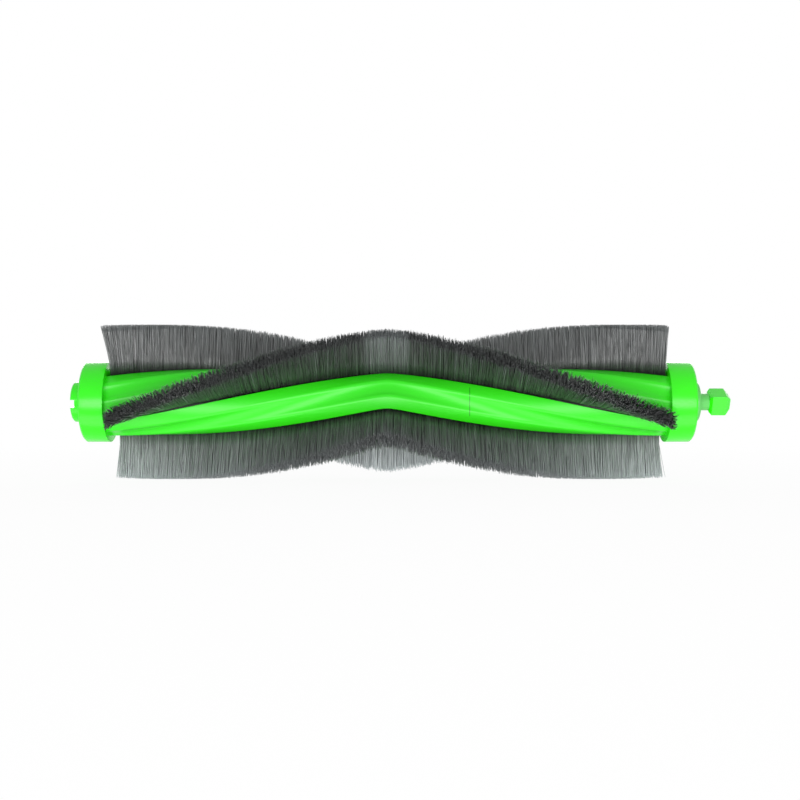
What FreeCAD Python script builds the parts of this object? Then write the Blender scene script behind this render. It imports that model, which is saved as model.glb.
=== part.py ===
"""Roller brush of a robot vacuum: a moulded core with four V-shaped bristle rows, two end caps,
a slotted drive boss at one end and a square bearing block at the other.

The spin axis is X, drive end towards -X. Each sub-part is modelled about the middle of the core, where
the V of every row has its point, and is then moved so that the whole roller is centred on the origin.
Angles are in degrees about +X, from +Y towards +Z.
"""
import FreeCAD, Part
import Sketcher
import math
import os

# Driving dimensions, in millimetres and degrees
SIZES = {
    # core and its lobes, in the cross-section at the point of the V
    "core_length": 151.6,
    "twist_angle": 102.0,
    "groove_angle": 18.0,
    "edge_radius": 8.95,
    "ridge_radius": 9.4,
    "ridge_half_angle": 14.0,
    "valley_radius": 8.7,
    "valley_half_angle": 6.0,
    # groove that holds a bristle strip
    "mouth_width": 2.7,
    "lip_depth": 1.3,
    "cavity_width": 3.4,
    "cavity_depth": 1.8,
    # bristle strip
    "strip_clearance": 0.15,
    "strip_end_gap": 0.3,
    "pile_clearance": 0.3,
    "pile_tip_width": 4.4,
    "tip_radius": 21.2,
    "tip_lead_apex": 8.0,
    "tip_lag_end": 15.0,
    # square spigots of the core and their sockets in the caps
    "spigot_side": 7.6,
    "spigot_length": 4.2,
    "socket_clearance": 0.1,
    # end caps
    "cap_diameter": 22.0,
    "drive_cap_width": 6.6,
    "bearing_cap_width": 7.1,
    "cap_chamfer": 0.5,
    # drive boss with its slot
    "boss_diameter": 11.0,
    "boss_height": 3.4,
    "boss_chamfer": 0.4,
    "slot_width": 2.1,
    "slot_depth": 1.2,
    "slot_turn": 186.0,
    # steel pins
    "pin_diameter": 2.0,
    "pin_setback": 0.3,
    "axle_diameter": 2.0,
    "pin_depth": 14.0,
    "pin_chamfer": 0.2,
    "press_clearance": 0.02,
    "bore_end_gap": 0.3,
    # flanged bearing bush
    "disc_diameter": 11.0,
    "disc_width": 2.1,
    "disc_chamfer": 0.4,
    "running_gap": 0.2,
    "axle_clearance": 0.05,
    "neck_diameter": 4.7,
    "neck_length": 2.9,
    "tenon_diameter": 3.6,
    "tenon_length": 4.2,
    # square bearing block
    "block_side": 5.5,
    "block_length": 5.8,
    "block_turn": 27.0,
    "inner_chamfer": 0.7,
    "outer_chamfer": 1.3,
}
ROWS = 4
BACKING_SPANS = 12
PILE_SPANS = 8
SIDES = {"drive": -1, "bearing": 1}

doc = FreeCAD.newDocument("roller_brush")
sheet = doc.addObject("Spreadsheet::Sheet", "Sizes")
for line, (alias, size) in enumerate(SIZES.items(), start=1):
    sheet.set(f"A{line}", str(size))
    sheet.setAlias(f"A{line}", alias)
doc.recompute()

# Lengths that several pieces share, as expressions on the sheet
HALF = "(Sizes.core_length / 2)"
DRIVE_FACE = f"({HALF} + Sizes.drive_cap_width)"
BOSS_END = f"({DRIVE_FACE} + Sizes.boss_height)"
BEARING_FACE = f"({HALF} + Sizes.bearing_cap_width)"
NECK_START = f"({BEARING_FACE} + Sizes.disc_width)"
BLOCK_START = f"({NECK_START} + Sizes.neck_length)"
BLOCK_END = f"({BLOCK_START} + Sizes.block_length)"
TENON_END = f"({BLOCK_START} + Sizes.tenon_length)"
MIDDLE = f"(({BOSS_END} - {BLOCK_END}) / 2)"
PITCH = f"({HALF} * 360 / Sizes.twist_angle)"
STRIP_LENGTH = f"({HALF} - Sizes.strip_end_gap)"
# Heights of the groove's steps above the axis, along the middle of the groove
MOUTH = "sqrt(Sizes.edge_radius ^ 2 - (Sizes.mouth_width / 2) ^ 2)"
LIP = f"({MOUTH} - Sizes.lip_depth)"
FLOOR = f"({LIP} - Sizes.cavity_depth)"

sub_parts = []
probe = doc.addObject("App::FeaturePython", "Probe")
probe.addProperty("App::PropertyFloat", "Result")


def value(text):
    """What an expression on the sheet comes to."""
    probe.setExpression("Result", text)
    probe.recompute()
    return probe.Result


def origin_feature(body, role):
    return next(feature for feature in body.Origin.OriginFeatures if feature.Role == role)


def place_sub_part(item, turn=0.0):
    """Turns a sub-part about the spin axis and moves it with the middle of the core."""
    item.Placement = FreeCAD.Placement(FreeCAD.Vector(), FreeCAD.Rotation(FreeCAD.Vector(1, 0, 0), turn))
    item.setExpression("Placement.Base.x", MIDDLE)
    sub_parts.append(item)


def new_body(label):
    """An empty body at the middle of the core."""
    body = doc.addObject("PartDesign::Body", label)
    body.Label = label
    place_sub_part(body)
    return body


def new_sketch(body, name, plane, offset=None, turn=None):
    """A sketch on one of the body's own planes, moved along and turned about the plane's normal."""
    sketch = body.newObject("Sketcher::SketchObject", name)
    sketch.AttachmentSupport = [(origin_feature(body, plane), "")]
    sketch.MapMode = "FlatFace"
    start = value(offset) if offset else 0.0
    angle = value(turn) if turn else 0.0
    normal = FreeCAD.Vector(0, 0, 1)
    sketch.AttachmentOffset = FreeCAD.Placement(normal * start, FreeCAD.Rotation(normal, angle))
    if offset:
        sketch.setExpression("AttachmentOffset.Base.z", offset)
    if turn:
        sketch.setExpression("AttachmentOffset.Rotation.Angle", turn)
    return sketch


def dimension(sketch, kind, target, text):
    """A dimension whose value follows an expression on the sheet."""
    index = sketch.addConstraint(Sketcher.Constraint(kind, *target, value(text)))
    sketch.setExpression(f"Constraints[{index}]", text)


def fix_point(sketch, geometry, position, across, up):
    """Dimensions a point of the sketch from its origin; a point at height 0 stays on the axis."""
    dimension(sketch, "DistanceX", (-1, 1, geometry, position), across)
    if up == "0":
        sketch.addConstraint(Sketcher.Constraint("PointOnObject", geometry, position, -1))
    else:
        dimension(sketch, "DistanceY", (-1, 1, geometry, position), up)


def draw_outline(sketch, points):
    """A closed outline of straight lines through points given as pairs of expressions."""
    corners = [FreeCAD.Vector(value(across), value(up), 0) for across, up in points]
    count = len(corners)
    lines = [
        sketch.addGeometry(Part.LineSegment(corners[i], corners[(i + 1) % count]))
        for i in range(count)
    ]
    for i, line in enumerate(lines):
        sketch.addConstraint(Sketcher.Constraint("Coincident", line, 2, lines[(i + 1) % count], 1))
    for line, (across, up) in zip(lines, points):
        fix_point(sketch, line, 1, across, up)


def draw_circle(sketch, diameter):
    circle = Part.Circle(FreeCAD.Vector(), FreeCAD.Vector(0, 0, 1), value(diameter) / 2)
    index = sketch.addGeometry(circle)
    sketch.addConstraint(Sketcher.Constraint("Coincident", index, 3, -1, 1))
    dimension(sketch, "Diameter", (index,), diameter)


def draw_rectangle(sketch, width, height):
    """A rectangle about the sketch's origin."""
    draw_outline(sketch, [
        (f"-{width} / 2", f"-{height} / 2"), (f"{width} / 2", f"-{height} / 2"),
        (f"{width} / 2", f"{height} / 2"), (f"-{width} / 2", f"{height} / 2"),
    ])


def revolve(body, points):
    """Turns an outline of (along the axis, radius) points about the spin axis."""
    sketch = new_sketch(body, "Profile", "XY_Plane")
    draw_outline(sketch, points)
    feature = body.newObject("PartDesign::Revolution", "Turned")
    feature.Profile = sketch
    feature.ReferenceAxis = (sketch, ["H_Axis"])
    feature.Angle = 360.0
    doc.recompute()
    return feature


def pad(body, sketch, length, towards):
    feature = body.newObject("PartDesign::Pad", "Pad")
    feature.Profile = sketch
    feature.setExpression("Length", length)
    feature.Reversed = towards < 0
    doc.recompute()
    return feature


def pocket(body, sketch, depth, towards):
    """Cuts a sketch into the body along +X or -X."""
    before = body.Shape.Volume
    feature = body.newObject("PartDesign::Pocket", "Pocket")
    feature.Profile = sketch
    feature.setExpression("Length", depth)
    feature.Reversed = towards > 0
    doc.recompute()
    if body.Shape.Volume >= before:
        raise RuntimeError(f"a pocket of {body.Label} cuts nothing")
    return feature


def in_groove(angle, height, aside):
    """A point of the cross-section, given by its height along a groove's middle and its distance aside."""
    across = f"({height}) * cos({angle}) - ({aside}) * sin({angle})"
    up = f"({height}) * sin({angle}) + ({aside}) * cos({angle})"
    return across, up


def groove_points(angle):
    """The undercut groove of one bristle row: sloping lips, a wider cavity and a flat floor."""
    mouth = "Sizes.mouth_width / 2"
    cavity = "Sizes.cavity_width / 2"
    steps = [(MOUTH, mouth), (LIP, cavity), (FLOOR, cavity)]
    near = [in_groove(angle, height, f"-{aside}") for height, aside in steps]
    far = [in_groove(angle, height, aside) for height, aside in reversed(steps)]
    return near + far


def lobe_points(angle):
    """The lobe after a groove: two ridges with a shallow flat-bottomed valley between them."""
    middle = f"({angle} + 180 / {ROWS})"
    ridge, valley = "Sizes.ridge_radius", "Sizes.valley_radius"
    corners = [
        (ridge, f"({middle} - Sizes.ridge_half_angle)"), (valley, f"({middle} - Sizes.valley_half_angle)"),
        (valley, f"({middle} + Sizes.valley_half_angle)"), (ridge, f"({middle} + Sizes.ridge_half_angle)"),
    ]
    return [(f"{radius} * cos{turn}", f"{radius} * sin{turn}") for radius, turn in corners]


def screw(body, sketch, length, side):
    """Sweeps a cross-section outwards from the middle while it turns about the spin axis."""
    feature = body.newObject("PartDesign::AdditiveHelix", "Twisted")
    feature.Profile = sketch
    feature.ReferenceAxis = (origin_feature(body, "X_Axis"), [""])
    feature.Mode = "pitch-height-angle"
    feature.setExpression("Pitch", PITCH)
    feature.setExpression("Height", length)
    feature.LeftHanded = side < 0
    feature.Reversed = side < 0
    doc.recompute()
    return feature


def make_core():
    """The moulded core: both twisted halves meet in the V, with a square spigot and a bore at each end."""
    body = new_body("roller_core")
    section = new_sketch(body, "Section", "YZ_Plane")
    angles = [f"(Sizes.groove_angle + {360 // ROWS * row})" for row in range(ROWS)]
    draw_outline(section, [point for angle in angles for point in groove_points(angle) + lobe_points(angle)])
    doc.recompute()
    for side in SIDES.values():
        screw(body, section, HALF, side)
    for side, diameter in ((-1, "Sizes.pin_diameter"), (1, "Sizes.axle_diameter")):
        spigot = new_sketch(body, "Spigot", "YZ_Plane", f"{side} * {HALF}")
        draw_rectangle(spigot, "Sizes.spigot_side", "Sizes.spigot_side")
        pad(body, spigot, "Sizes.spigot_length", side)
        bore = new_sketch(body, "Bore", "YZ_Plane", f"{side} * ({HALF} + Sizes.spigot_length)")
        draw_circle(bore, f"{diameter} + 2 * Sizes.press_clearance")
        pocket(body, bore, "Sizes.spigot_length + Sizes.pin_depth + Sizes.bore_end_gap", -side)


def strip_turn(along):
    """How far a groove has turned at a distance along the strip, from the point of the V."""
    return FreeCAD.Rotation(FreeCAD.Vector(1, 0, 0), value("Sizes.groove_angle") + along * 360 / value(PITCH))


def faceted_strip(label, side, row, spans, outline_at):
    """A twisted strip in flat facets. Its outline, as (height, aside) corners, is given by the share of its length."""
    outlines = []
    for span in range(spans + 1):
        share = span / spans
        along = value(STRIP_LENGTH) * share
        turn = strip_turn(along)
        outlines.append([
            turn.multVec(FreeCAD.Vector(side * along, height, aside)) for height, aside in outline_at(share)
        ])
    triangles = []
    for near, far in zip(outlines, outlines[1:]):
        for i, corner in enumerate(near):
            triangles += [(corner, near[i - 1], far[i - 1]), (corner, far[i - 1], far[i])]
    faces = [Part.Face(Part.makePolygon([*corners, corners[0]])) for corners in triangles]
    faces += [Part.Face(Part.makePolygon([*end, end[0]])) for end in (outlines[0], outlines[-1])]
    strip = doc.addObject("Part::Feature", label)
    strip.Label = label
    strip.Shape = Part.Solid(Part.Shell(faces))
    place_sub_part(strip, 360 / ROWS * row)


def make_strip_backing(label, side, row):
    """The flat backing of a half row, which fills the undercut of its groove."""
    aside = value("Sizes.cavity_width / 2 - Sizes.strip_clearance")
    low = value(f"{FLOOR} + Sizes.strip_clearance")
    high = value(f"{LIP} - Sizes.strip_clearance")
    outline = [(low, -aside), (high, -aside), (high, aside), (low, aside)]
    faceted_strip(label, side, row, BACKING_SPANS, lambda share: outline)


def make_bristle_pile(label, side, row):
    """The pile of a half row. Its foot follows the groove; its trimmed tips twist less than the foot."""
    aside = value("Sizes.mouth_width / 2 - Sizes.pile_clearance")
    foot, mouth = value(f"{LIP} + Sizes.pile_clearance"), value("Sizes.edge_radius")
    radius = value("Sizes.tip_radius")
    half_tip = math.asin(value("Sizes.pile_tip_width") / 2 / radius)
    lead, lag = math.radians(value("Sizes.tip_lead_apex")), math.radians(value("Sizes.tip_lag_end"))

    def outline_at(share):
        lean = lead - (lead + lag) * share
        tips = [(radius * math.cos(turn), radius * math.sin(turn)) for turn in (lean - half_tip, lean + half_tip)]
        return [(foot, -aside), (mouth, -aside), *tips, (mouth, aside), (foot, aside)]

    faceted_strip(label, side, row, PILE_SPANS, outline_at)


def cut_socket(body, side):
    """The square socket of an end cap, open to the core's side."""
    socket = new_sketch(body, "Socket", "YZ_Plane", f"{side} * {HALF}")
    width = "(Sizes.spigot_side + 2 * Sizes.socket_clearance)"
    draw_rectangle(socket, width, width)
    pocket(body, socket, "Sizes.spigot_length + Sizes.socket_clearance", side)


def cut_cap_bore(body, side, diameter, end):
    """The bore of an end cap, right through it to its outer end."""
    bore = new_sketch(body, "Bore", "YZ_Plane", f"{side} * {HALF}")
    draw_circle(bore, f"{diameter} + 2 * Sizes.press_clearance")
    pocket(body, bore, f"{end} - {HALF}", side)


def outer_rim(end, radius, chamfer):
    """The chamfered rim at the outer end of a turned piece, as (along the axis, radius) points."""
    return [(f"({end} - {chamfer})", radius), (end, f"{radius} - {chamfer}")]


def cap_wall(face):
    """The round wall of an end cap, from the core's side to its chamfered outer rim."""
    radius = "Sizes.cap_diameter / 2"
    return [(HALF, radius), *outer_rim(face, radius, "Sizes.cap_chamfer")]


def make_drive_end_cap():
    """The cap of the driven end, with a round boss whose slot takes the blade of the drive."""
    body = new_body("drive_end_cap")
    boss = "Sizes.boss_diameter / 2"
    boss_rim = [(f"-{along}", radius) for along, radius in outer_rim(BOSS_END, boss, "Sizes.boss_chamfer")]
    revolve(body, [
        (f"-{HALF}", "0"), *[(f"-{along}", radius) for along, radius in cap_wall(DRIVE_FACE)],
        (f"-{DRIVE_FACE}", boss), *boss_rim, (f"-{BOSS_END}", "0"),
    ])
    slot = new_sketch(body, "Slot", "YZ_Plane", f"-{BOSS_END}", "Sizes.slot_turn")
    draw_rectangle(slot, "(Sizes.boss_diameter + Sizes.slot_width)", "Sizes.slot_width")
    pocket(body, slot, "Sizes.slot_depth", 1)
    cut_socket(body, -1)
    cut_cap_bore(body, -1, "Sizes.pin_diameter", BOSS_END)


def make_bearing_end_cap():
    """The plain cap of the bearing end."""
    body = new_body("bearing_end_cap")
    revolve(body, [(HALF, "0"), *cap_wall(BEARING_FACE), (BEARING_FACE, "0")])
    cut_socket(body, 1)
    cut_cap_bore(body, 1, "Sizes.axle_diameter", BEARING_FACE)


def make_pin(label, inner, outer, diameter, side):
    """A steel pin along the spin axis, chamfered at its outer end."""
    body = new_body(label)
    radius = f"{diameter} / 2"
    outline = [(inner, "0"), (inner, radius), *outer_rim(outer, radius, "Sizes.pin_chamfer"), (outer, "0")]
    revolve(body, [(f"{side} * {along}", height) for along, height in outline])


def make_bearing_bush():
    """The flanged bush in which the axle turns; its tenon sits in the bearing block."""
    body = new_body("bearing_bush")
    start = f"({BEARING_FACE} + Sizes.running_gap)"
    bore = "(Sizes.axle_diameter / 2 + Sizes.axle_clearance)"
    disc, neck, tenon = (f"Sizes.{name}_diameter / 2" for name in ("disc", "neck", "tenon"))
    revolve(body, [
        (start, bore), (start, disc), *outer_rim(NECK_START, disc, "Sizes.disc_chamfer"), (NECK_START, neck),
        (BLOCK_START, neck), (BLOCK_START, tenon), (TENON_END, tenon), (TENON_END, bore),
    ])


def make_bearing_block():
    """The square block that a seat in the vacuum holds still, chamfered at both ends."""
    body = new_body("bearing_block")
    square = new_sketch(body, "Square", "YZ_Plane", BLOCK_START, "Sizes.block_turn")
    draw_rectangle(square, "Sizes.block_side", "Sizes.block_side")
    base = pad(body, square, "Sizes.block_length", 1)
    for size, along in (
        ("Sizes.inner_chamfer", BLOCK_START),
        ("Sizes.outer_chamfer", BLOCK_END),
    ):
        place = value(along)
        names = [
            f"Edge{number}" for number, edge in enumerate(base.Shape.Edges, start=1)
            if all(abs(corner.X - place) < 1e-4 for corner in edge.Vertexes)
        ]
        chamfer = body.newObject("PartDesign::Chamfer", "Chamfer")
        chamfer.Base = (base, names)
        chamfer.setExpression("Size", size)
        doc.recompute()
        base = chamfer
    bore = new_sketch(body, "Bore", "YZ_Plane", BLOCK_START)
    draw_circle(bore, "Sizes.tenon_diameter + 2 * Sizes.press_clearance")
    pocket(body, bore, "Sizes.tenon_length + Sizes.bore_end_gap", 1)


make_core()
make_drive_end_cap()
make_bearing_end_cap()
PIN_START = f"({HALF} - Sizes.pin_depth)"
make_pin("drive_pin", PIN_START, f"({BOSS_END} - Sizes.pin_setback)", "Sizes.pin_diameter", -1)
make_pin("bearing_axle", PIN_START, f"({TENON_END} - Sizes.pin_setback)", "Sizes.axle_diameter", 1)
make_bearing_bush()
make_bearing_block()
for row in range(ROWS):
    for end_name, side in SIDES.items():
        make_strip_backing(f"strip_backing_{row + 1}_{end_name}", side, row)
        make_bristle_pile(f"bristle_pile_{row + 1}_{end_name}", side, row)
doc.recompute()

failed = [item.Label for item in doc.Objects if {"Invalid", "Error"} & set(item.State)]
failed += [
    body.Label for body in sub_parts
    if body.Shape.isNull() or not body.Shape.isValid() or len(body.Shape.Solids) != 1
]
if failed:
    raise RuntimeError(f"not built: {', '.join(failed)}")

os.makedirs("parts", exist_ok=True)
for body in sub_parts:
    body.Shape.exportStep(f"parts/{body.Label}.step")
    print(f"{body.Label}: {body.Shape.Volume:.1f} mm3")
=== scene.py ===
# %% [markdown]
# # The roller brush of a robot vacuum
# A bright green roller carries four V-shaped rows of grey bristles between two round end caps. The frame
# already holds every piece at its true size and place, so this lesson only dresses it. The core is modelled
# again with rounded ridges, each bristle row becomes thousands of fine nylon fibres, and every surface gets a
# finish of its own.

# %% Load the frame
import math

import bmesh
import bpy
import numpy as np
from mathutils import Matrix, Vector


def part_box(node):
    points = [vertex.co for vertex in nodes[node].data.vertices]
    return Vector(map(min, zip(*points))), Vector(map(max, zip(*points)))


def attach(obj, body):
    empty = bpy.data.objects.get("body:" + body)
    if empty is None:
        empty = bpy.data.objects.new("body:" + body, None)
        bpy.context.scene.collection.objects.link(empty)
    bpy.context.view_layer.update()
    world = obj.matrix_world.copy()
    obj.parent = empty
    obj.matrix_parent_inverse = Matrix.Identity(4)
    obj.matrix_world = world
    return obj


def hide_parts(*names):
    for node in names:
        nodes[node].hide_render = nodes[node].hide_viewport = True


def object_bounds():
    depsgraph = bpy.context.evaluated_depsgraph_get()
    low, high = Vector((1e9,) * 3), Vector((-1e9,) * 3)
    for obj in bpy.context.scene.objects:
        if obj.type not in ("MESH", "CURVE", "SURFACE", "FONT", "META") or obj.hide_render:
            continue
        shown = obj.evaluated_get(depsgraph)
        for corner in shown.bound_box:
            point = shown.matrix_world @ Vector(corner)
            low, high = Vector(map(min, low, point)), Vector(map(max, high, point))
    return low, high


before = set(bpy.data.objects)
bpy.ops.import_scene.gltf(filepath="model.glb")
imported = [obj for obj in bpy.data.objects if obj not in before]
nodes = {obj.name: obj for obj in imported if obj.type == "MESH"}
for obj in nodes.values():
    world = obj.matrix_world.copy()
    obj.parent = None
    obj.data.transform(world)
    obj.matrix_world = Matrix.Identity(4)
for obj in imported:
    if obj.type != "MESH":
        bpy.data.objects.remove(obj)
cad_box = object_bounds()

MM = 0.001

# %% [markdown]
# ## Where things are
# The spin axis is X. Each row of bristles has the point of its V at the middle of the core, so everything is
# measured from there. The two end caps give the ends of the core, and the cross-section of the core is
# described by a few radii and angles, counted about the axis from +Y towards +Z.

# %% Places and sizes
drive_cap, bearing_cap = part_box("drive_end_cap"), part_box("bearing_end_cap")
core_start, core_end = drive_cap[1].x, bearing_cap[0].x
apex = (core_start + core_end) / 2
half_core = (core_end - core_start) / 2
cap_radius = bearing_cap[1].z

ROWS = 4
GROOVE_ANGLE = math.radians(18)
TWIST = math.radians(102)
SIDES = {"drive": -1, "bearing": 1}
print(f"core of {2 * half_core / MM:.1f} mm, V at x = {apex / MM:.2f} mm")

# %% [markdown]
# ## Camera
# The picture looks at the roller square from its side and from quite near: the inner faces of both caps show
# as thin crescents, which only a close camera can see. A moderately long lens at about a third of a metre
# gives that.

# %% Camera
CAMERA_PLACE = Vector((-0.5, -343.0, 0.5)) * MM
CAMERA_ANGLE = math.radians(35.5)

camera = bpy.data.objects.new("camera", bpy.data.cameras.new("camera"))
camera.location = CAMERA_PLACE
camera.rotation_euler = (math.radians(90), 0, 0)
camera.data.angle = CAMERA_ANGLE
camera.data.clip_start = 10 * MM
bpy.context.scene.collection.objects.link(camera)
bpy.context.scene.camera = camera
bpy.context.scene.view_settings.view_transform = "Standard"
print(f"camera {camera.location.length / MM:.0f} mm from the origin, lens {camera.data.lens:.1f} mm")

# %% [markdown]
# ## Helpers for node trees
# The world and every finish are small node trees, and a few helpers keep them short. The first adds a node with
# its values, the next two join sockets. The last tells what the picture looks at: it is 1 for rays that come
# from the camera, off a gloss or through something clear. With it a backdrop can look white without lighting
# the roller more than a plain room would.

# %% Node helpers


def add_node(tree, kind, **values):
    """A node of a kind, with its properties and its inputs set by name."""
    node = tree.nodes.new(kind)
    for name, setting in values.items():
        if hasattr(node, name):
            setattr(node, name, setting)
        else:
            node.inputs[name.replace("_", " ")].default_value = setting
    return node


def combine(tree, operation, first, second):
    """What a Math node makes of two sockets."""
    node = add_node(tree, "ShaderNodeMath", operation=operation)
    tree.links.new(first, node.inputs[0])
    tree.links.new(second, node.inputs[1])
    return node.outputs[0]


def mix_shaders(tree, share, first, second):
    """Two shaders, mixed by a socket."""
    mix = add_node(tree, "ShaderNodeMixShader")
    for number, socket in enumerate((share, first, second)):
        tree.links.new(socket, mix.inputs[number])
    return mix.outputs[0]


def looked_at(tree):
    """1 where a thing is seen directly, in a gloss or through something clear, else 0."""
    rays = add_node(tree, "ShaderNodeLightPath").outputs
    seen = combine(tree, "MAXIMUM", rays["Is Camera Ray"], rays["Is Glossy Ray"])
    return combine(tree, "MAXIMUM", seen, rays["Is Transmission Ray"])


# %% [markdown]
# ## Light
# A soft, even studio: a pale world lights the roller from all round. It looks white to the camera and in
# reflections, but gives only a plain level of light. A wide soft box behind the camera makes the broad
# highlights half-way up the caps, a weaker one lifts the lower rows, as light from a white table would, and a
# third one behind the roller brightens the upper rims.

# %% World and lamps
WORLD_LIGHT, BACKDROP_WHITE = 0.42, 1.0

world = bpy.data.worlds.new("studio")
bpy.context.scene.world = world
world.use_nodes = True
tree = world.node_tree
tree.nodes.clear()
lighting = add_node(tree, "ShaderNodeBackground", Color=(1, 1, 1, 1), Strength=WORLD_LIGHT)
backdrop = add_node(tree, "ShaderNodeBackground", Color=(1, 1, 1, 1), Strength=BACKDROP_WHITE)
studio = mix_shaders(tree, looked_at(tree), lighting.outputs[0], backdrop.outputs[0])
tree.links.new(studio, add_node(tree, "ShaderNodeOutputWorld").inputs["Surface"])


def soft_box(name, place, width, height, power):
    """An area lamp that faces the roller, sized in metres."""
    lamp = bpy.data.objects.new(name, bpy.data.lights.new(name, "AREA"))
    lamp.data.shape = "RECTANGLE"
    lamp.data.size, lamp.data.size_y = width, height
    lamp.data.energy = power
    lamp.location = place
    lamp.rotation_euler = (-place).to_track_quat("-Z", "Y").to_euler()
    bpy.context.scene.collection.objects.link(lamp)
    return lamp


lamps = [
    soft_box("front_box", Vector((0.0, -0.74, -0.06)), width=1.0, height=0.3, power=4.7),
    soft_box("low_box", Vector((0.0, -0.3, -0.43)), width=0.9, height=0.3, power=1.5),
    soft_box("back_box", Vector((0.0, 0.8, 0.3)), width=1.0, height=0.3, power=4.5),
]
print(f"world at {WORLD_LIGHT}, lamps", [lamp.name for lamp in lamps])

# %% [markdown]
# ## Helpers for materials
# Every finish is a small node tree round one Principled shader. These helpers start a material, read the place
# on an object, and mix colours or stretch a value by a pattern, so that each finish below reads as a short
# recipe.

# %% Material helpers


def new_finish(name, **sockets):
    """A material with one Principled shader, whose plain sockets are set directly."""
    material = bpy.data.materials.new(name)
    material.use_nodes = True
    shader = material.node_tree.nodes["Principled BSDF"]
    for socket, number in sockets.items():
        shader.inputs[socket.replace("_", " ")].default_value = number
    return material, material.node_tree, shader


def object_place(tree):
    """The place on an object, in its own coordinates."""
    return add_node(tree, "ShaderNodeTexCoord").outputs["Object"]


def noise(tree, **values):
    """An uneven pattern that is fixed to the object."""
    texture = add_node(tree, "ShaderNodeTexNoise", **values)
    tree.links.new(object_place(tree), texture.inputs["Vector"])
    return texture.outputs["Fac"]


def mix_colours(tree, factor, first, second):
    """Mixes two colours, each plain or from a socket, by a socket that varies over the surface."""
    mix = add_node(tree, "ShaderNodeMix", data_type="RGBA")
    for name, colour in (("A", first), ("B", second)):
        if isinstance(colour, tuple):
            mix.inputs[name].default_value = (*colour, 1)
        else:
            tree.links.new(colour, mix.inputs[name])
    tree.links.new(factor, mix.inputs["Factor"])
    return mix.outputs["Result"]


def map_range(tree, factor, **limits):
    """A socket's value, carried from one range to another."""
    node = add_node(tree, "ShaderNodeMapRange", **limits)
    tree.links.new(factor, node.inputs["Value"])
    return node.outputs["Result"]


# %% [markdown]
# ## Moulded plastic
# The core, the caps and the bearing pieces are injection mouldings. Such plastic is never quite even: its
# colour flows a little along the part, its gloss changes from place to place, and a very fine grain breaks up
# the highlights. A shader node group holds these three effects once, and each plastic below uses it with its
# own values.

# %% The skin of moulded plastic


def moulded_skin_group():
    """The shared skin: a flow of colour, a roughness and the height of a grain."""
    group = bpy.data.node_groups.new("moulded_skin", "ShaderNodeTree")
    sockets = group.interface
    sockets.new_socket("Place", in_out="INPUT", socket_type="NodeSocketVector")
    for name, start in (
        ("Flow Scale", 60.0), ("Grain Scale", 2500.0), ("Gloss Low", 0.3), ("Gloss High", 0.4),
    ):
        sockets.new_socket(name, in_out="INPUT", socket_type="NodeSocketFloat").default_value = start
    for name in ("Flow", "Roughness", "Height"):
        sockets.new_socket(name, in_out="OUTPUT", socket_type="NodeSocketFloat")
    given = group.nodes.new("NodeGroupInput")
    result = group.nodes.new("NodeGroupOutput")
    link = group.links.new

    stretch = add_node(group, "ShaderNodeMapping", Scale=(0.25, 1.0, 1.0))
    link(given.outputs["Place"], stretch.inputs["Vector"])
    flow = add_node(group, "ShaderNodeTexNoise", Detail=3.0, Roughness=0.5)
    link(stretch.outputs["Vector"], flow.inputs["Vector"])
    link(given.outputs["Flow Scale"], flow.inputs["Scale"])
    link(flow.outputs["Fac"], result.inputs["Flow"])

    gloss = add_node(group, "ShaderNodeMapRange")
    link(flow.outputs["Fac"], gloss.inputs["Value"])
    link(given.outputs["Gloss Low"], gloss.inputs["To Min"])
    link(given.outputs["Gloss High"], gloss.inputs["To Max"])
    link(gloss.outputs["Result"], result.inputs["Roughness"])

    grain = add_node(group, "ShaderNodeTexNoise", Detail=2.0, Roughness=0.6)
    link(given.outputs["Place"], grain.inputs["Vector"])
    link(given.outputs["Grain Scale"], grain.inputs["Scale"])
    link(grain.outputs["Fac"], result.inputs["Height"])
    return group


moulded_skin = moulded_skin_group()
print("moulded skin:", [socket.name for socket in moulded_skin.interface.items_tree])

# %% [markdown]
# The core and the caps are nearly the same bright green, the caps a little glossier. The bush is paler, and
# the strip backings are a dull dark grey. Each plastic lies between two near shades of its colour. The caps,
# the bush and the block keep the shape that they have in the frame, and a narrow Bevel modifier catches the
# light along their edges.

# %% The plastics
GRAIN_DEPTH = 0.01 * MM
EDGE_ROUND, EDGE_ANGLE = 0.12 * MM, math.radians(30)
MERGE_DISTANCE = 0.001 * MM


def moulded_plastic(name, pale, deep, gloss, grain_depth=GRAIN_DEPTH):
    """A moulded plastic between two shades, with its range of roughness and the depth of its grain."""
    material, tree, shader = new_finish(name, IOR=1.5, Specular_IOR_Level=0.45)
    skin = add_node(tree, "ShaderNodeGroup", node_tree=moulded_skin)
    skin.inputs["Gloss Low"].default_value, skin.inputs["Gloss High"].default_value = gloss
    tree.links.new(object_place(tree), skin.inputs["Place"])
    tree.links.new(mix_colours(tree, skin.outputs["Flow"], deep, pale), shader.inputs["Base Color"])
    tree.links.new(skin.outputs["Roughness"], shader.inputs["Roughness"])
    bump = add_node(tree, "ShaderNodeBump", Strength=0.3, Distance=grain_depth)
    tree.links.new(skin.outputs["Height"], bump.inputs["Height"])
    tree.links.new(bump.outputs["Normal"], shader.inputs["Normal"])
    return material


def wear(material, *names):
    """Gives CAD pieces a finish."""
    for name in names:
        nodes[name].data.materials.clear()
        nodes[name].data.materials.append(material)


def soften_edges(*names):
    """Joins the faces of CAD pieces and rounds their edges a little."""
    for name in names:
        weld = nodes[name].modifiers.new("weld", "WELD")
        weld.merge_threshold = MERGE_DISTANCE
        bevel = nodes[name].modifiers.new("soft_edges", "BEVEL")
        bevel.limit_method = "ANGLE"
        bevel.angle_limit = EDGE_ANGLE
        bevel.width = EDGE_ROUND
        bevel.segments = 2


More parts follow.
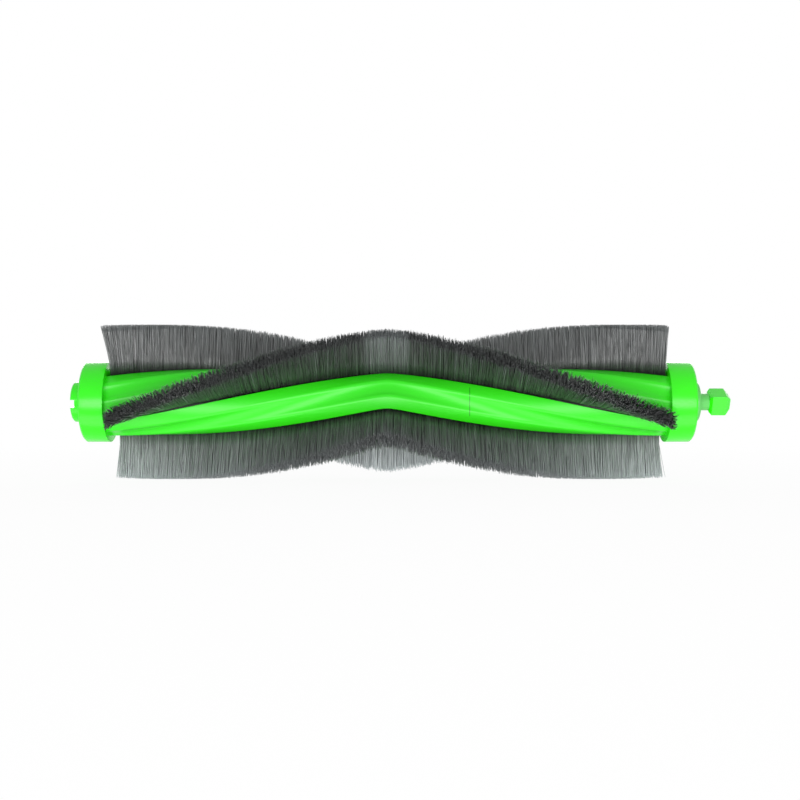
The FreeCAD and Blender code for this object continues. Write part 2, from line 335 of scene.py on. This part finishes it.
core_plastic = moulded_plastic(
    "core_plastic", pale=(0.036, 0.8, 0.008), deep=(0.02, 0.69, 0.003), gloss=(0.3, 0.38)
)
cap_plastic = moulded_plastic(
    "cap_plastic", pale=(0.04, 0.93, 0.004), deep=(0.022, 0.84, 0.002), gloss=(0.22, 0.28)
)
bush_plastic = moulded_plastic(
    "bush_plastic", pale=(0.16, 0.66, 0.15), deep=(0.1, 0.52, 0.1), gloss=(0.3, 0.4)
)
backing_plastic = moulded_plastic(
    "backing_plastic", pale=(0.06, 0.065, 0.065), deep=(0.03, 0.033, 0.033), gloss=(0.5, 0.65),
    grain_depth=2 * GRAIN_DEPTH,
)
wear(cap_plastic, "drive_end_cap", "bearing_end_cap", "bearing_block")
wear(bush_plastic, "bearing_bush")
soften_edges("drive_end_cap", "bearing_end_cap", "bearing_block", "bearing_bush")
wear(backing_plastic, *[name for name in nodes if name.startswith("strip_backing")])
print("plastics:", [plastic.name for plastic in (core_plastic, cap_plastic, bush_plastic, backing_plastic)])

# %% [markdown]
# A fine dark line crosses the front lobe to the right of the middle, perhaps where two parts of the mould met.
# It is too thin to model, so it is a mask in the finish: a narrow slice along the axis, on the front side only.

# %% Seam of the mould
SEAM_PLACE, SEAM_HALF_WIDTH, SEAM_HALF_HEIGHT = 18.15 * MM, 0.09 * MM, 3.8 * MM
SEAM_COLOUR = (0.01, 0.22, 0.005)


def add_seam(material):
    """Darkens a narrow slice of a finish."""
    tree = material.node_tree
    colour = tree.nodes["Principled BSDF"].inputs["Base Color"]
    plain = colour.links[0].from_socket
    axes = add_node(tree, "ShaderNodeSeparateXYZ")
    tree.links.new(object_place(tree), axes.inputs["Vector"])

    def test(axis, operation, number, reach=0.0):
        node = add_node(tree, "ShaderNodeMath", operation=operation)
        tree.links.new(axes.outputs[axis], node.inputs[0])
        node.inputs[1].default_value, node.inputs[2].default_value = number, reach
        return node.outputs[0]

    thin, in_front = test("X", "COMPARE", SEAM_PLACE, SEAM_HALF_WIDTH), test("Y", "LESS_THAN", 0.0)
    slice_in_front = combine(tree, "MULTIPLY", thin, in_front)
    mask = combine(tree, "MULTIPLY", slice_in_front, test("Z", "COMPARE", 0.0, SEAM_HALF_HEIGHT))
    tree.links.new(mix_colours(tree, mask, plain, SEAM_COLOUR), colour)


add_seam(core_plastic)
print(f"seam at x = {SEAM_PLACE / MM:.1f} mm")

# %% [markdown]
# ## Steel pins
# The drive pin and the axle are drawn steel wire, cut to length. Drawing and cutting leave very fine marks, so
# a fine noise varies the tone and the gloss of the metal a little.

# %% Steel


def drawn_steel():
    """Bright metal with fine marks."""
    material, tree, shader = new_finish("drawn_steel", Metallic=1.0)
    marks = noise(tree, Scale=4000.0, Detail=2.0)
    tone = mix_colours(tree, marks, (0.62, 0.62, 0.63), (0.82, 0.82, 0.83))
    tree.links.new(tone, shader.inputs["Base Color"])
    tree.links.new(map_range(tree, marks, To_Min=0.15, To_Max=0.3), shader.inputs["Roughness"])
    return material


steel = drawn_steel()
wear(steel, "drive_pin", "bearing_axle")
print("steel:", steel.name)

# %% [markdown]
# ## The core
# The core is one moulding: a section with four undercut grooves and four lobes, twisted one way to the left
# and the other way to the right, so that all its edges meet in a V. Its section is drawn once as a face, the
# ridges and valleys are rounded with a vertex bevel, and a spin with a step along the axis screws the outline
# up to each end. Spinning the real section, rather than bending a finished bar, keeps every edge true.

# %% Section of the core
EDGE_RADIUS, RIDGE_RADIUS, VALLEY_RADIUS = 8.95 * MM, 9.4 * MM, 8.7 * MM
RIDGE_TURN, VALLEY_TURN = math.radians(14), math.radians(6)
MOUTH_HALF, CAVITY_HALF = 1.35 * MM, 1.7 * MM
LIP_DEPTH, CAVITY_DEPTH = 1.3 * MM, 1.8 * MM
RIDGE_ROUND, VALLEY_ROUND, LIP_ROUND = 0.6 * MM, 0.6 * MM, 0.2 * MM
mouth_height = math.sqrt(EDGE_RADIUS ** 2 - MOUTH_HALF ** 2)
lip_height = mouth_height - LIP_DEPTH
floor_height = lip_height - CAVITY_DEPTH


def around_axis(along, angle, height, aside=0.0):
    """A point beside the axis: its height along a direction at an angle, and its distance aside from that."""
    return Vector((
        along,
        height * math.cos(angle) - aside * math.sin(angle),
        height * math.sin(angle) + aside * math.cos(angle),
    ))


def section_of_core():
    """The rounded outline of the core at the point of the V, as a bmesh of edges."""
    bm = bmesh.new()
    ridges, valleys, lips, outline = [], [], [], []
    groove = [(mouth_height, MOUTH_HALF), (lip_height, CAVITY_HALF), (floor_height, CAVITY_HALF)]
    for row in range(ROWS):
        angle = GROOVE_ANGLE + row * math.tau / ROWS
        middle = angle + math.pi / ROWS
        cut = [bm.verts.new(around_axis(apex, angle, height, -aside)) for height, aside in groove]
        cut += [bm.verts.new(around_axis(apex, angle, height, aside)) for height, aside in reversed(groove)]
        lobe = [
            bm.verts.new(around_axis(apex, middle + turn, radius)) for radius, turn in (
                (RIDGE_RADIUS, -RIDGE_TURN), (VALLEY_RADIUS, -VALLEY_TURN),
                (VALLEY_RADIUS, VALLEY_TURN), (RIDGE_RADIUS, RIDGE_TURN),
            )
        ]
        lips += [cut[0], cut[-1]]
        ridges += [lobe[0], lobe[-1]]
        valleys += lobe[1:3]
        outline += cut + lobe
    bm.faces.new(outline)
    for corners, size, segments in (
        (ridges, RIDGE_ROUND, 4), (valleys, VALLEY_ROUND, 3), (lips, LIP_ROUND, 2),
    ):
        bmesh.ops.bevel(bm, geom=corners, offset=size, offset_type="OFFSET", segments=segments, profile=0.5,
                        affect="VERTICES", material=-1)
    bmesh.ops.delete(bm, geom=bm.faces[:], context="FACES_ONLY")
    return bm


print(f"groove {2 * MOUTH_HALF / MM:.1f} mm wide at the mouth, floor at {floor_height / MM:.2f} mm")

# %% [markdown]
# A sharp V would look folded from sheet. A moulding is softer there, so near the middle each point is turned a
# little further about the axis, which rounds the point of the V over a few millimetres and dies away
# towards the ends. A square spigot at each end stands for the one that the cap is pushed onto.

# %% Screw up the core
CORE_STEPS = 96
SPIGOT_SIDE, SPIGOT_LENGTH = 7.6 * MM, 4.2 * MM
APEX_SOFTNESS = 2.0 * MM
SHARP_ANGLE = math.radians(38)
twist_rate = TWIST / half_core


def softened_turn(distance):
    """The extra turn that rounds the V at a distance from its point."""
    return twist_rate * (np.sqrt(distance ** 2 + APEX_SOFTNESS ** 2) - distance)


def to_mesh(name, bm):
    """A mesh made from a bmesh, which is then let go."""
    mesh = bpy.data.meshes.new(name)
    bm.to_mesh(mesh)
    bm.free()
    return mesh


def smooth_faces(bm):
    """Smooth faces, with the edges that fold sharply kept crisp."""
    for face in bm.faces:
        face.smooth = True
    for edge in bm.edges:
        edge.smooth = edge.calc_face_angle(0.0) < SHARP_ANGLE


def build_core():
    """Both halves of the core, each screwed up from the middle and closed with a spigot at its end."""
    core = bmesh.new()
    for side in SIDES.values():
        half = section_of_core()
        spun = bmesh.ops.spin(
            half, geom=half.verts[:] + half.edges[:], cent=(0, 0, 0), axis=(1, 0, 0),
            dvec=(side * half_core / CORE_STEPS, 0, 0), angle=TWIST, steps=CORE_STEPS,
        )
        rim = [item for item in spun["geom_last"] if isinstance(item, bmesh.types.BMEdge)]
        bmesh.ops.edgeloop_fill(half, edges=rim)
        spigot_middle = apex + side * (half_core + SPIGOT_LENGTH / 2)
        bmesh.ops.create_cube(half, size=1.0, matrix=Matrix.LocRotScale(
            Vector((spigot_middle, 0, 0)), None, Vector((SPIGOT_LENGTH, SPIGOT_SIDE, SPIGOT_SIDE))))
        scrap = to_mesh("half", half)
        core.from_mesh(scrap)
        bpy.data.meshes.remove(scrap)
    bmesh.ops.remove_doubles(core, verts=core.verts[:], dist=MERGE_DISTANCE)
    for vert in core.verts:
        turn = softened_turn(abs(vert.co.x - apex))
        vert.co = Matrix.Rotation(turn, 3, "X") @ vert.co
    bmesh.ops.recalc_face_normals(core, faces=core.faces[:])
    smooth_faces(core)
    return core


def finish_piece(name, mesh, material, body, slot_name, *replaced):
    """A finished object at the origin that rides on a body and stands for CAD nodes."""
    mesh.materials.clear()
    mesh.materials.append(material)
    piece = bpy.data.objects.new(name, mesh)
    bpy.context.scene.collection.objects.link(piece)
    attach(piece, body)
    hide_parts(*replaced)
    return piece


core_mesh = to_mesh("roller_core_moulding", build_core())
core = finish_piece("roller_core_moulding", core_mesh, core_plastic, "roller", "core_plastic", "roller_core")
print(f"{core.name}: {len(core.data.polygons)} faces")

# %% [markdown]
# ## Bristles
# Each half row is a strip of soft nylon fibres that stand in the groove and are trimmed to one radius. A
# textured block would look like felt, and a particle system could not be exported, so every fibre is a real
# three-sided thread of a few faces. One thread is made, cut in two and given a point by insetting its top. Its
# sides are shaded smooth and its ends flat, so that the tips don't glow. An Array modifier copies the thread on
# the spot, and then every copy is carried to its own root and bent to its own tip.

# %% One fibre, copied
FIBRES = 5600
FIBRE_RADIUS = 0.085 * MM
# Of a fibre with a radius and a length of 1
SHAFT, POINT, POINT_INSET = 0.95, 0.05, 0.45
TOP_MARGIN, END_SLOPE = 0.01, 0.9


def fibre_copies():
    """All copies of one fibre, which has a radius and a length of 1, as a mesh."""
    bm = bmesh.new()
    bmesh.ops.create_cone(bm, cap_ends=True, segments=3, radius1=1.0, radius2=1.0, depth=SHAFT,
                          matrix=Matrix.Translation((0, 0, SHAFT / 2)))
    lengthwise = [edge for edge in bm.edges if abs(edge.verts[0].co.z - edge.verts[1].co.z) > SHAFT / 2]
    bmesh.ops.subdivide_edges(bm, edges=lengthwise, cuts=1)
    top = [face for face in bm.faces if face.calc_center_median().z > SHAFT - TOP_MARGIN]
    bmesh.ops.inset_individual(bm, faces=top, thickness=POINT_INSET, depth=POINT)
    for face in bm.faces:
        face.smooth = abs(face.normal.z) < END_SLOPE
    mesh = to_mesh("one_fibre", bm)
    holder = bpy.data.objects.new("fibre_copies", mesh)
    bpy.context.scene.collection.objects.link(holder)
    array = holder.modifiers.new("copies", "ARRAY")
    array.count = FIBRES
    array.use_relative_offset = False
    copies = bpy.data.meshes.new_from_object(holder.evaluated_get(bpy.context.evaluated_depsgraph_get()))
    bpy.data.objects.remove(holder)
    bpy.data.meshes.remove(mesh)
    return copies


fibre_mesh = fibre_copies()
print(f"{FIBRES} fibres of {len(fibre_mesh.polygons) // FIBRES} faces each")

# %% [markdown]
# ## Nylon
# The fibres have a dark dye, yet from the side they look grey: a smooth thread mirrors the bright room, while a
# thread seen end-on mirrors only its neighbours. So the finish is a dye under a strong, soft gloss, with
# painted light and shade on top. Each fibre carries two attributes on its mesh: its tone, which holds painted
# light and shade by row, and how far along the fibre a point is. The foot is darker, as painted shade deep in
# the groove, and the point is mixed with a pale grey, as painted light.

# %% Nylon finish
# The range of the fibres' tone; where each fibre lies in it holds painted light and shade by row
DARKEST_NYLON_TONE, PALEST_NYLON_TONE = (0.012, 0.0135, 0.0135), (0.52, 0.57, 0.578)
# Pale grey mixed into the point of each fibre, as painted light
POINT_PAINTED_LIGHT, POINT_LIGHT_SHARE = (0.3, 0.32, 0.32), 0.25
# How dark the foot of each fibre is made, as painted shade
FOOT_PAINTED_SHADE = 0.05


def nylon():
    """A tone by fibre that holds painted light and shade, darker at the foot and paler at the point, under a
    soft gloss.
    """
    material, tree, shader = new_finish("bristle_nylon", IOR=1.9, Specular_IOR_Level=1.0)
    tone_and_painted_light = add_node(tree, "ShaderNodeAttribute", attribute_name="fibre_tone_and_painted_light").outputs["Fac"]
    rise = add_node(tree, "ShaderNodeAttribute", attribute_name="fibre_rise").outputs["Fac"]
    painted_tone = add_node(tree, "ShaderNodeVectorMath", operation="SCALE")
    tree.links.new(mix_colours(tree, tone_and_painted_light, DARKEST_NYLON_TONE, PALEST_NYLON_TONE), painted_tone.inputs[0])
    tree.links.new(map_range(tree, rise, To_Min=FOOT_PAINTED_SHADE, To_Max=1.0), painted_tone.inputs["Scale"])
    painted_point_light = map_range(tree, rise, From_Min=SHAFT, To_Max=POINT_LIGHT_SHARE)
    tree.links.new(mix_colours(tree, painted_point_light, painted_tone.outputs["Vector"], POINT_PAINTED_LIGHT), shader.inputs["Base Color"])
    tree.links.new(map_range(tree, tone_and_painted_light, To_Min=0.45, To_Max=0.6), shader.inputs["Roughness"])
    return material


bristle_nylon = nylon()
print("nylon:", bristle_nylon.name)

# %% [markdown]
# ## Growing a half row
# The foot of a half row follows its groove, while its trimmed tips twist a little less. Fibres gather in
# tufts, loosely near the ends and more at the middle of the brush, and at the ends of a strip the outermost
# fibres splay past the cap. All of this is worked out for thousands of fibres at once with arrays, from a
# random generator with a fixed seed, so that the brush grows the same way every time.

# %% Roots and tips
STRIP_END_GAP = 0.3 * MM
STRIP_LENGTH = half_core - STRIP_END_GAP
TIP_RADIUS, TIP_HALF_WIDTH = 21.2 * MM, 2.5 * MM
TIP_HALF_ANGLE = math.asin(TIP_HALF_WIDTH / TIP_RADIUS)
TIP_LEAD, TIP_LAG = math.radians(8), math.radians(15)
TUFTS = 84
GATHER_MIDDLE, GATHER_END = 0.3, 0.1
TUFT_WANDER = 0.2
TUFT_LEAN, FIBRE_LEAN = math.radians(1.0), math.radians(0.8)
TRIM_SPREAD, TIP_WANDER = 0.12 * MM, 0.22 * MM
SPLAY_REACH = 3.5 * MM
# How far each strip stops short of the core's end, and how far its last tips lean outwards there
STRIP_ENDS = {
    "bristle_pile_1_drive": (0.5 * MM, 2.3 * MM), "bristle_pile_1_bearing": (0.2 * MM, 0.6 * MM),
    "bristle_pile_2_drive": (0.5 * MM, -2.0 * MM), "bristle_pile_2_bearing": (0.4 * MM, 0.0 * MM),
    "bristle_pile_3_drive": (1.4 * MM, 0.6 * MM), "bristle_pile_3_bearing": (0.2 * MM, 1.1 * MM),
    "bristle_pile_4_drive": (0.5 * MM, 0.6 * MM), "bristle_pile_4_bearing": (0.2 * MM, 0.6 * MM),
}


def scatter_fibres(rng, stop_short, splay):
    """Each fibre's share of the strip, tuft, root and place aside, and its tip's lean, radius and shift."""
    strip = STRIP_LENGTH - stop_short
    share = (np.arange(FIBRES) + rng.random(FIBRES)) / FIBRES
    aside = rng.uniform(-1, 1, FIBRES)
    root = share * strip
    tuft = np.minimum((share * TUFTS).astype(int), TUFTS - 1)
    gathering = GATHER_MIDDLE + (GATHER_END - GATHER_MIDDLE) * share
    tuft_middle = (tuft + 0.5 + rng.normal(0, TUFT_WANDER, TUFTS)[tuft]) / TUFTS * strip

    lean = TIP_LEAD - (TIP_LEAD + TIP_LAG) * share + aside * TIP_HALF_ANGLE
    lean += rng.normal(0, TUFT_LEAN, TUFTS)[tuft] * gathering + rng.normal(0, FIBRE_LEAN, FIBRES)
    tip_radius = TIP_RADIUS - np.abs(rng.normal(0, TRIM_SPREAD, FIBRES))
    tip_shift = (tuft_middle - root) * gathering + rng.normal(0, TIP_WANDER, FIBRES)
    tip_shift += splay * np.exp(-(strip - root) / SPLAY_REACH)
    return share, tuft, root, aside, lean, tip_radius, tip_shift


print(f"strips of {STRIP_LENGTH / MM:.1f} mm with {TUFTS} tufts each")

# %% [markdown]
# Gloss and lamps give only a part of the tones of the rows. The rest is painted light and shade: each row has a
# painted shade of its own from the point of the V to its ends. Small differences by tuft and by fibre keep the
# rows from looking like cloth, and a few fibres are paler, as painted glints.

# %% Shades of the fibres
# How pale each row is at some shares of its length, from the point of the V to the ends of the core:
# painted light and shade by row
PALE_AT = (0.0, 0.065, 0.085, 0.4, 1.0)
ROW_PAINTED_SHADES = (
    (0.23, 0.23, 0.23, 0.22, 0.18), (0.34, 0.31, 0.02, 0.02, 0.02),
    (0.19, 0.19, 0.19, 0.29, 1.0), (1.0, 1.0, 0.85, 0.36, 0.28),
)
TUFT_SHADE, FIBRE_SHADE = 0.03, 0.05
# A few fibres are made paler: painted glints
GLINT_FIBRES, GLINT_SHADE = 0.02, 0.4


def painted_fibre_shades(rng, row, share, tuft):
    """A shade from 0 to 1 for each fibre of a row: painted light and shade by row, random tone, painted glints.
    """
    shade = np.interp(share, PALE_AT, ROW_PAINTED_SHADES[row])
    shade += rng.normal(0, TUFT_SHADE, TUFTS)[tuft] + rng.normal(0, FIBRE_SHADE, FIBRES)
    shade = np.where(rng.random(FIBRES) < GLINT_FIBRES, np.maximum(shade, GLINT_SHADE), shade)
    return np.clip(shade, 0, 1)


print(f"shades of {len(ROW_PAINTED_SHADES)} rows")

# %% [markdown]
# Now the copies are carried to their places. A fibre rises straight from its foot and bends to its tip along a
# simple curve of three points. It is three-sided, so it shows either an edge or a flat: in the lower rows it is
# turned half round, to show the front the same edge as in the upper rows. On one side of the V the strip is a
# mirror image, so its faces are flipped to point outwards again.

# %% Grow the rows
ROOT_ABOVE_LIP, BEND_HEIGHT = 0.1 * MM, 11.0 * MM
ROOT_HEIGHT = lip_height + ROOT_ABOVE_LIP
FOOT_HALF = 1.05 * MM
SPLAY_POWER = 1.2
UPPER_ROWS = 2


def grow_half_row(name, row, side, seed):
    """The mesh of one half row: every copy of the fibre carried to its root and bent to its tip."""
    rng = np.random.default_rng(seed)
    share, tuft, root, aside, lean, tip_radius, tip_shift = scatter_fibres(rng, *STRIP_ENDS[name])
    mesh = fibre_mesh.copy()
    flat = np.empty(len(mesh.vertices) * 3, np.float32)
    mesh.vertices.foreach_get("co", flat)
    local = flat.reshape(FIBRES, -1, 3).astype(float)
    rise = local[:, :, 2]

    def bend(start, middle, end):
        start, middle, end = start[:, None], middle[:, None], end[:, None]
        return (1 - rise) ** 2 * start + 2 * rise * (1 - rise) * middle + rise ** 2 * end

    foot_aside = aside * FOOT_HALF
    height = bend(np.full(FIBRES, ROOT_HEIGHT), np.full(FIBRES, BEND_HEIGHT), tip_radius * np.cos(lean))
    across = bend(foot_aside, foot_aside, tip_radius * np.sin(lean))
    beyond_cap = np.clip((np.hypot(height, across) - cap_radius) / (TIP_RADIUS - cap_radius), 0, 1)
    along = root[:, None] + tip_shift[:, None] * beyond_cap ** SPLAY_POWER
    corner_reach = FIBRE_RADIUS if row < UPPER_ROWS else -FIBRE_RADIUS
    across += local[:, :, 1] * corner_reach
    along += local[:, :, 0] * corner_reach

    turn = GROOVE_ANGLE + row * math.tau / ROWS + twist_rate * root + softened_turn(root)
    turn = turn[:, None]
    placed = np.stack([
        apex + side * along,
        height * np.cos(turn) - across * np.sin(turn),
        height * np.sin(turn) + across * np.cos(turn),
    ], axis=-1)
    mesh.vertices.foreach_set("co", placed.astype(np.float32).ravel())
    if side > 0:
        mesh.flip_normals()

    # Painted light and shade by row, random tone by tuft and fibre, and painted glints, for every point
    shades = np.repeat(painted_fibre_shades(rng, row, share, tuft), local.shape[1])
    for attribute, numbers in (("fibre_tone_and_painted_light", shades), ("fibre_rise", rise.ravel())):
        mesh.attributes.new(attribute, "FLOAT", "POINT").data.foreach_set("value", numbers.astype(np.float32))
    mesh.update()
    return mesh


for row in range(ROWS):
    for end, side in SIDES.items():
        pile = f"bristle_pile_{row + 1}_{end}"
        grown = grow_half_row(pile, row, side, seed=10 * (row + 1) + side)
        finish_piece(f"bristles_{row + 1}_{end}", grown, bristle_nylon, "roller", "bristle_nylon", pile)
        print(f"{pile}: {len(grown.vertices)} points")
bpy.data.meshes.remove(fibre_mesh)

# %% [markdown]
# ## Floor
# The roller lies on a plain white floor that touches its lowest bristles. To the camera the floor is as white
# as the world behind it, apart from a little of its real shading near the roller, so that this keeps its
# shadow. It only catches that shadow: light from below passes it, as if the roller lay on a lit table.

# %% Floor
FLOOR_SIZE = 8.0
# How white the floor looks near the roller, and between which distances it becomes quite white
NEAR_WHITE, NEAR, FAR = 0.95, 0.05, 0.3


def floor_paint():
    """White to the camera, with a little of its real shading near the roller."""
    material, tree, shader = new_finish("floor_paint", Roughness=0.9, Specular_IOR_Level=0.0)
    tone = mix_colours(tree, noise(tree, Scale=40.0), (0.88, 0.88, 0.88), (0.92, 0.92, 0.92))
    tree.links.new(tone, shader.inputs["Base Color"])
    distance = add_node(tree, "ShaderNodeVectorMath", operation="LENGTH")
    tree.links.new(object_place(tree), distance.inputs[0])
    whiteness = map_range(
        tree, distance.outputs["Value"], From_Min=NEAR, From_Max=FAR, To_Min=NEAR_WHITE, To_Max=1.0
    )
    share = combine(tree, "MULTIPLY", looked_at(tree), whiteness)
    white = add_node(tree, "ShaderNodeEmission", Strength=BACKDROP_WHITE)
    mixed = mix_shaders(tree, share, shader.outputs[0], white.outputs[0])
    tree.links.new(mixed, tree.nodes["Material Output"].inputs["Surface"])
    return material


bm = bmesh.new()
bmesh.ops.create_grid(bm, x_segments=2, y_segments=2, size=FLOOR_SIZE / 2,
                      matrix=Matrix.Translation((0, 0, cad_box[0].z)))
floor_mesh = to_mesh("floor", bm)
floor_mesh.materials.append(floor_paint())
floor = bpy.data.objects.new("floor", floor_mesh)
bpy.context.scene.collection.objects.link(floor)
floor.visible_shadow = floor.visible_diffuse = floor.visible_glossy = False
print(f"floor at z = {cad_box[0].z / MM:.2f} mm")
